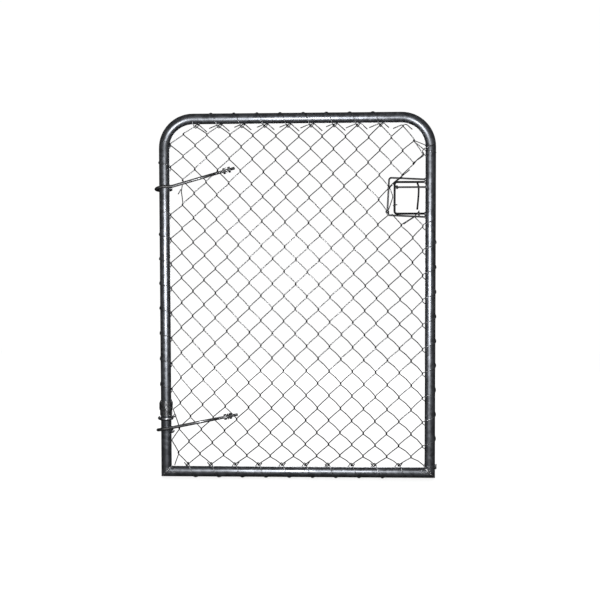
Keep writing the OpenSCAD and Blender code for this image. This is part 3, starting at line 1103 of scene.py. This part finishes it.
    def tail(self, j: int, k: int, up: int) -> Points:
        """Hook the end of a wire over its neighbour and lay it back into the panel.

        Args:
            j: the wire.
            k: row of its last bend.
            up: 1 at the upper end, -1 at the lower end.

        Returns:
            Corner points from the bend outwards.
        """
        c, side = self.column(j, k)
        chance = side * scatter(c, 5)
        if c in (0, self.cols) or k == self.rows - 1 or (up > 0 and side < 0 and c < 3) or (up < 0 and chance < 0):
            return []
        x, z = self.knuckle(c, k)
        vary = 1 + 0.25 * scatter(j, k + 3)
        depth, edge = -side * up * self.weave, z + up * self.bend_z
        if up < 0:
            run = self.stub_l * (vary + 0.5 * chance)
            return around(x, edge, (side * 5, 2 * depth, 0.6), (side * (5 + 0.7 * run), 2.6 * depth, run))
        run = self.tail_l * vary
        if side > 0:
            return around(
                x, edge, (7, 1.6 * depth, 0), (12, 2.2 * depth, -1.2),
                (12 + 0.75 * run, 2.6 * depth, -1.2 - 0.68 * run),
            )
        return around(x, edge, (-4.5, 2.4 * depth, -0.8), (-4.5 - 0.93 * run, 3 * depth, -0.8 - 0.38 * run))

    def hole_end(self, j: int) -> Points:
        """Return the corners by which a wire that is cut under the hand hole ends on its rods."""
        order, off, front = j - self.hole_col, self.hoop_off, -self.inner_off
        x = self.leaf.width - self.hole_ends[order]
        ends = (
            ((2, -off, -1), (0, -off * 0.8, 3), (-2, off * 0.8, 3), (-2, off, 0)),
            ((0, front, -1), (9, front - 0.4, 9), (15, front, 16), (16, 0, 18)),
            ((0, off, -2), (-2, off, 2)),
        )
        return around(x, self.hole.bar_z(x, -1), *ends[order])

    def bowed(self, start: Vector, end: Vector) -> Vector:
        """Return the middle of a leg, which bows up more where it falls to the right."""
        falls = (end.x - start.x) * (end.z - start.z) < 0
        share = start.x / self.leaf.width * (1 - start.z / self.leaf.height)
        least, more = self.bow_part
        bow = self.bow * (least + more * share) * (1 if falls else self.bow_up)
        return (start + end) / 2 + Vector((bow if falls else -bow, 0, bow)) * math.sqrt(0.5)

    def wire(self, j: int, first: int, last: int) -> Points:
        """Follow one wire.

        Args:
            j: its number from the left.
            first: its lowest row.
            last: its highest row.

        Returns:
            A smooth path from its lower to its upper end.
        """
        corners = []
        if first == 0:
            corners += reversed(self.tail(j, first, -1))
        for k in range(first, last + 1):
            bend = self.bend(j, k)
            if k > first:
                corners.append(self.bowed(corners[-1], bend[0]))
            corners += bend
        if last >= self.rows - 1:
            corners += self.tail(j, last, 1)
        elif j >= self.hole_col:
            corners += self.hole_end(j)
        return rounded(corners, trim=3.4, steps=3)

    def hole_ties(self, foot: float) -> list[Points]:
        """Lay the wires that are caught between and over the hoops of the hand hole.

        Args:
            foot: height where the lowest of them leaves the outer hoop.

        Returns:
            Corner points of each wire.
        """
        hole, off, inner = self.hole, self.hoop_off, self.inner_off
        x, z = self.knuckle(self.hole_col + 1, self.row_above)
        low = self.lattice(self.hole_col, self.row_above - 1)[1]
        bar = hole.upright_x(low)
        over = around(bar, low, (2, off, -9), (-off, off * 0.3, -7), (-off * 0.6, -off, -3), (18, -inner - 0.6, 18))
        over += around(x, z, (-2, -inner, -3), (24, -4, 18))
        beside = [place + Vector((1.6, 0, -1.6)) for place in over[2:-1]]
        squeezed = around(bar, low, (-off * 0.7, -off * 0.7, 2), (off, 0, -3))
        squeezed += around(hole.inner_x, hole.hoop_z, (-inner, 0, 6))
        squeezed += around(hole.upright_x(foot), foot, (off, 0, 10), (-off * 0.7, -off * 0.7, 2))
        stub = around(
            hole.inner_x, hole.hoop_z - 21,
            (-2, inner, -2), (-inner, 0, -1), (0, -inner, 0), (inner + 3, -inner * 0.8, 1),
        )
        return [over, beside, squeezed, stub]

    def loose_ends(self) -> list[Points]:
        """Lay a cut end under the upper bolt, a doubled wire at the right stile and one under the hand hole."""
        cut_end = around(*self.knuckle(0, self.rows - 6), (-12, -3, -11), (-7, -3, -3), (-3, -2.6, 5))
        doubled = around(*self.knuckle(self.cols - 1, self.rows - 3), (-1, -4, -5), (12, -4.6, 12))
        doubled += around(*self.knuckle(self.cols, self.rows - 2), (-6, -4.6, -4), (2, -3, 6), (1, 3, 10))
        x = self.leaf.width - self.hole_ends[1]
        laid = around(x, self.hole.bar_z(x, -1), (-1, -self.hoop_off - 2.6, -3), (-18, -5, -14), (-34, -3.4, -25))
        return [cut_end, doubled, laid]

    def caught_wires(self) -> list[Points]:
        """Return the paths of all wires that are caught, cut or knotted beside the weave."""
        hole = self.hole
        foot = self.lattice(self.hole_col, self.row_below + 1)[1]
        wires = [rounded(corners, trim=5, steps=5) for corners in (*self.hole_ties(foot), *self.loose_ends())]
        return wires + [
            knot(Vector((hole.upright_x(foot), 0, foot + 3)), UP, self.hoop_off),
            knot(Vector((hole.inner_x + 7, hole.cross_y, hole.cross_z)), ACROSS, self.hoop_off),
            knot(Vector((self.leaf.width - 38, 0, hole.inner_foot)), ACROSS, self.inner_off),
        ]

    def build(self, finishes: Finishes) -> None:
        """Draw the three lengths of the panel and the wires caught in the hand hole."""
        last, first = self.cols - 1, self.hole_col
        beside = range(first, last + 1)
        lengths = {
            "mesh_main": [self.wire(j, 0, self.last_row(j)) for j in range(first)],
            "mesh_above_hand_hole": [self.wire(j, self.row_above + (j == last), self.last_row(j)) for j in beside],
            "mesh_below_hand_hole": [self.wire(j, 0, self.row_below) for j in beside],
        }
        lengths = {f"woven_{node}": (wires, [node]) for node, wires in lengths.items()}
        lengths["hand_hole_caught_wires"] = (self.caught_wires(), [])
        for name, (wires, nodes) in lengths.items():
            shell = Shell(self.leaf).rods(wires, self.wire_d / 2 + self.zinc_t, self.sides)
            shell.piece(name, Slot.MESH, finishes, *nodes)


@dataclass
class Lacing:
    """The lacing wire round the frame, its tie coil and the stop ring under it.

    Attributes:
        leaf: places on the leaf.
        mesh: the panel that the lacing holds.
        level: share by which turns on the left stile are level in front, as slant elsewhere.
        ends: shares of a turn by which a length goes on at its start and at its end.
        stile_reach: power that sets how briefly turns reach into the panel, as rail_reach on rails.
        coil_short: turns that the coil's upper layer stops short at each end.
        ring_turn: angles in degrees between which the stop ring runs round the stile.
    """

    leaf: LeafFrame
    mesh: ChainLink
    wire_d: float = 2
    gap: float = 0.3
    level: float = 0.9
    slant: float = 0.45
    ends: Pair = (1 / 6, 1 / 3)
    stile_reach: int = 2
    rail_reach: int = 6
    steps: int = 36
    coil_turns: int = 16
    coil_short: int = 3
    coil_wire_d: float = 3
    coil_press: float = 0.94
    coil_nest: float = 0.8
    coil_wander: float = 0.4
    coil_steps: int = 28
    ring_z: float = 194
    ring_rod_d: float = 10
    ring_turn: Pair = (35, 342)
    foot_z: float = 37
    foot_step: float = 5.5
    wire_sides: int = 8
    coil_sides: int = 10
    ring_sides: int = 20

    @property
    def ring_r(self) -> float:
        """Radius of a turn where it lies on the tube."""
        return self.leaf.tube_r + self.gap + self.wire_d / 2

    def wound(self, edge: Edge, first: int, last: int) -> Points:
        """Wind a length round one side of the frame.

        Args:
            edge: side that it goes round.
            first: row or column of its first turn.
            last: row or column of its last turn.

        Returns:
            Points along the wire.
        """
        leaf, mesh = self.leaf, self.mesh
        slim = leaf.tube_r + mesh.edge_gap + mesh.wire_d
        stile, rail = slim + self.gap + self.wire_d / 2, slim + mesh.knuckle_h + 2 * self.wire_d
        axis, line, inward, hold, reach = {
            Edge.LEFT: (0.0, 0, 1, self.level, stile),
            Edge.RIGHT: (leaf.width, mesh.cols, -1, self.slant, stile + mesh.right_slack),
            Edge.TOP: (leaf.height - leaf.tube_r, mesh.rows, -1, -self.slant, rail),
            Edge.BOTTOM: (leaf.tube_r, 0, 1, self.slant, rail),
        }[edge]
        upright = edge in (Edge.LEFT, Edge.RIGHT)
        power = self.stile_reach if upright else self.rail_reach
        before, after = self.ends
        path = []
        for n in range(round(-self.steps * before), round(((last - first) / 2 + after) * self.steps) + 1):
            turn = n / self.steps
            a = math.tau * turn
            along = first + 2 * (turn + hold * (math.cos(a) - 1) / math.tau)
            r = self.ring_r + (reach - self.ring_r) * max(0.0, math.cos(a)) ** power
            inner, depth = axis + inward * r * math.cos(a), -r * math.sin(a)
            if upright:
                path.append(Vector((inner, depth, mesh.lattice(line, along)[1])))
            else:
                path.append(Vector((mesh.lattice(along, line)[0], inward * depth, inner)))
        return path

    def corner_tie(self) -> Points:
        """Tie the knuckle under the right bend to the right stile with two strands."""
        x, z = self.mesh.knuckle(self.mesh.cols - 1, self.mesh.rows - 1)
        back = arc(self.leaf.width, self.ring_r, (60, 168), (z - 24, z - 15))
        hook = rounded(around(x, z, (4, 3, -2), (-4, 0, -1), (2, -4, -7)), trim=3, steps=4)
        front = arc(self.leaf.width, self.ring_r, (192, 330), (z - 34, z - 42))
        return back + hook + front

    def end_knot(self) -> Points:
        """Twist the lacing's upper end beside the left stile."""
        z = self.mesh.lattice(0, self.mesh.rows - 2)[1]
        return knot(Vector((self.leaf.tube_r + 3.6, -3, z - 6)), UP, self.wire_d)

    def foot_knot(self) -> Points:
        """Lead the lacing's lower end round the front of the right stile and twist it outside."""
        x = self.leaf.width + self.leaf.tube_r + self.gap + 1.15 * self.wire_d
        path = arc(self.leaf.width, self.ring_r, (185, 350), (self.foot_z + 9, self.foot_z - 5))
        for n in (-1, 0, 1):
            path += knot(Vector((x, 0, self.foot_z + n * self.foot_step)), UP, 0.7 * self.wire_d)
        return path

    def coil_layers(self) -> list[Points]:
        """Wind the tie coil: a close layer, and a shorter one back over it."""
        pitch = self.coil_wire_d * self.coil_press
        inner = self.leaf.tube_r + self.gap + self.coil_wire_d / 2
        layers = []
        for r, count, lift in (
            (inner, self.coil_turns + 1, -self.coil_wire_d),
            (inner + self.coil_nest * self.coil_wire_d, self.coil_turns - 2 - 2 * self.coil_short, self.coil_wire_d),
        ):
            middle, half = self.mesh.coil_z + lift, count / 2 * pitch
            path = arc(0, r, (0, -360 * count), (middle - half, middle + half), count * self.coil_steps)
            for n, place in enumerate(path):
                place.z += self.coil_wander * scatter(n // self.coil_steps, count)
            layers.append(path)
        return layers

    def coil_strand(self) -> Points:
        """Lead the coil's end down across the stile to the stop ring's hook."""
        r = self.leaf.tube_r + self.gap + self.coil_wire_d
        low = self.mesh.coil_z - self.coil_turns * self.coil_wire_d * self.coil_press / 2
        start = places((-2, -r, low + 3), (11, -r * 0.86, low - 2))
        return rounded(start + places((26, -11, self.ring_z + 4), (31, -3, self.ring_z + 8)), trim=6, steps=5)

    def ring_hook(self) -> Points:
        """Curl a thin hook up from the stop ring's right end."""
        r, steps = 4.2, 16
        path = [Vector((20, -13, self.ring_z + 3))]
        for n in range(steps + 1):
            a = math.radians(-100 + 300 * n / steps)
            path.append(Vector((29 + r * math.cos(a), -6 + 3 * n / steps, self.ring_z + 8 + r * math.sin(a))))
        return path

    def build(self, finishes: Finishes) -> None:
        """Draw the lacing of each side, the coil and the ring."""
        cols, rows = self.mesh.cols, self.mesh.rows
        sides = {
            Edge.LEFT: ([(6, 20), (24, rows - 2)], [self.end_knot()]),
            Edge.RIGHT: ([(2, 20), (26, rows - 2)], [self.corner_tie(), self.foot_knot()]),
            Edge.TOP: ([(2, cols - 4)], []),
            Edge.BOTTOM: ([(2, cols - 2)], []),
        }
        for edge, (lengths, ties) in sides.items():
            paths = [self.wound(edge, first, last) for first, last in lengths] + ties
            shell = Shell(self.leaf).rods(paths, self.wire_d / 2 + self.mesh.zinc_t, self.wire_sides)
            node = f"lacing_{edge.value}"
            shell.piece(f"wound_{node}", Slot.LACING, finishes, node)
        strands = [*self.coil_layers(), self.coil_strand()]
        coil = Shell(self.leaf).rods(strands, self.coil_wire_d / 2, self.coil_sides)
        coil.piece("wound_tie_coil", Slot.LACING, finishes, "lacing_tie_coil")
        radius = self.leaf.tube_r + self.gap + self.ring_rod_d / 2
        bent = arc(0, radius, self.ring_turn, (self.ring_z, self.ring_z), steps=64)
        stop = Shell(self.leaf).rods([bent], self.ring_rod_d / 2, self.ring_sides)
        stop.rods([self.ring_hook()], self.coil_wire_d / 2, self.coil_sides)
        # The stop ring takes the paler copy of the rod finish: a painted highlight along its front.
        stop.piece("bent_stop_ring", Slot.ROD, finishes, "stop_ring", tone=Tone.PAINTED_HIGHLIGHT)


@dataclass(frozen=True)
class Lamp:
    """A soft square light that faces the leaf's middle.

    Attributes:
        name: name of the light.
        offset: its place from the leaf's middle in metres.
        size: its width in metres.
        power: its power in watts.
    """

    name: str
    offset: Triple
    size: float
    power: float

    def hang(self, target: Vector) -> None:
        """Hang the light so that it faces a point."""
        offset = Vector(self.offset)
        data = bpy.data.lights.new(self.name, "AREA")
        data.size = self.size
        data.energy = self.power
        lamp = bpy.data.objects.new(self.name, data)
        lamp.location = target + offset
        lamp.rotation_euler = (-offset).to_track_quat("-Z", "Y").to_euler()
        bpy.context.scene.collection.objects.link(lamp)


@dataclass
class Studio:
    """Floor, light and camera.

    Attributes:
        leaf: places on the leaf.
        distance: camera's distance from the leaf's middle in metres.
        azimuth: degrees that the camera stands to the right.
        elevation: degrees that the camera stands above the middle.
        roll: degrees that the camera is turned about its view.
        focal: focal length in pixels of the image.
        middle: pixel of the leaf's middle in the image.
        image: width and height of the image in pixels.
        floor_glow: light that the floor gives off.
        white: strength of the white room.
        room: strength of the room in reflections, in front and behind, over room_depth.
        lamps: the lights.
    """

    leaf: LeafFrame
    distance: float = 2.5
    azimuth: float = 1.905
    elevation: float = 1.818
    roll: float = -0.135
    focal: float = 765.3
    middle: Pair = (297.03, 296.22)
    image: float = 600
    sensor: float = 36.0
    floor_half: float = 4.0
    floor_gap: float = 0.001
    floor_grey: float = 0.3
    floor_rough: float = 0.9
    floor_glow: float = 0.72
    white: float = 1.02
    room: Pair = (0.06, 0.002)
    room_depth: Pair = (-1.0, 0.6)
    lamps: tuple[Lamp, ...] = (
        Lamp("flash", (-0.05, -1.35, 0.08), 0.22, 15.0),
        Lamp("back_fill", (0.1, 3.0, 0.5), 1.2, 24.0),
    )

    @property
    def target(self) -> Vector:
        """Middle of the leaf."""
        return self.leaf.at(Vector((self.leaf.width / 2, 0, self.leaf.height / 2)))

    def camera(self) -> None:
        """Stand the camera at the photograph's angle."""
        az, el, roll = (math.radians(a) for a in (self.azimuth, self.elevation, self.roll))
        out = Vector((math.sin(az) * math.cos(el), -math.cos(az) * math.cos(el), math.sin(el)))
        right = (-out).cross(UP).normalized()
        up = right.cross(-out)
        turned = right * math.cos(roll) + up * math.sin(roll)
        upright = up * math.cos(roll) - right * math.sin(roll)
        data = bpy.data.cameras.new("camera")
        data.sensor_width = self.sensor
        data.lens = self.focal * self.sensor / self.image
        data.shift_x = (self.image / 2 - self.middle[0]) / self.image
        data.shift_y = (self.middle[1] - self.image / 2) / self.image
        camera = bpy.data.objects.new("camera", data)
        turn = Matrix((turned, upright, out)).transposed().to_4x4()
        camera.matrix_world = Matrix.Translation(self.target + out * self.distance) @ turn
        bpy.context.scene.collection.objects.link(camera)
        bpy.context.scene.camera = camera

    def floor(self) -> None:
        """Lay a plain pale floor under the leaf."""
        half, grey = self.floor_half, self.floor_grey
        low = self.leaf.at(Vector((self.leaf.width / 2, 0, 0)))
        corners = [(-half, -half), (half, -half), (half, half), (-half, half)]
        mesh = bpy.data.meshes.new("floor")
        height = CAD_BOX[0][2] - self.floor_gap
        mesh.from_pydata([(low.x + x, low.y + y, height) for x, y in corners], [], [(0, 1, 2, 3)])
        floor = bpy.data.objects.new("floor", mesh)
        material = bpy.data.materials.new("pale_floor")
        material.use_nodes = True
        Graph(material.node_tree).fill(material.node_tree.nodes["Principled BSDF"], {
            "Base Color": (grey, grey, grey, 1), "Roughness": self.floor_rough,
            "Emission Color": (1, 1, 1, 1), "Emission Strength": self.floor_glow,
        })
        mesh.materials.append(material)
        floor.visible_glossy = False
        bpy.context.scene.collection.objects.link(floor)

    def surround(self) -> None:
        """Light the room white, with a dark room in the metal's reflections."""
        world = bpy.data.worlds.new("studio")
        bpy.context.scene.world = world
        world.use_nodes = True
        graph = Graph(world.node_tree)
        (front, back), (near, far) = self.room, self.room_depth
        where = graph.add("TexCoord", "Generated", {})
        room = graph.add("MapRange", "Result", {
            "Value": graph.add("SeparateXYZ", "Y", {"Vector": where}),
            "From Min": near, "From Max": far, "To Min": front, "To Max": back,
        })
        mirrored = graph.add("LightPath", "Is Glossy Ray", {})
        strength = graph.add("Mix", "Result", {"Factor": mirrored, "A": self.white, "B": room})
        graph.fill(world.node_tree.nodes["Background"], {"Color": (1, 1, 1, 1), "Strength": strength})

    def build(self) -> None:
        """Set up the whole studio."""
        self.camera()
        self.floor()
        self.surround()
        for lamp in self.lamps:
            lamp.hang(self.target)
        bpy.context.scene.view_settings.view_transform = "Standard"


def main() -> None:
    """Build and dress the gate, then set up its studio."""
    logging.basicConfig(level=logging.INFO, format="%(name)s: %(message)s")
    leaf = LeafFrame.from_tubes()
    finishes = Finishes()
    finishes.prepare()
    tubes = TubeFrame(leaf)
    tubes.dress(finishes)
    tubes.build(finishes)
    hole = HandHole(leaf)
    hole.dress(finishes)
    hole.build(finishes)
    hinges = [
        HingeBolt(leaf, "lower", Body.LOWER_BOLT, z=162, lead=2, tilt=11.6, length=239, free=20, nut_turn=13),
        HingeBolt(leaf, "upper", Body.UPPER_BOLT, z=952, lead=28, tilt=15.8, length=208, free=14, eye_rise=8),
    ]
    for hinge in hinges:
        hinge.build(finishes)
    mesh = ChainLink(leaf, hole, hinges)
    mesh.build(finishes)
    Lacing(leaf, mesh).build(finishes)
    Studio(leaf).build()


if __name__ == "__main__":
    main()
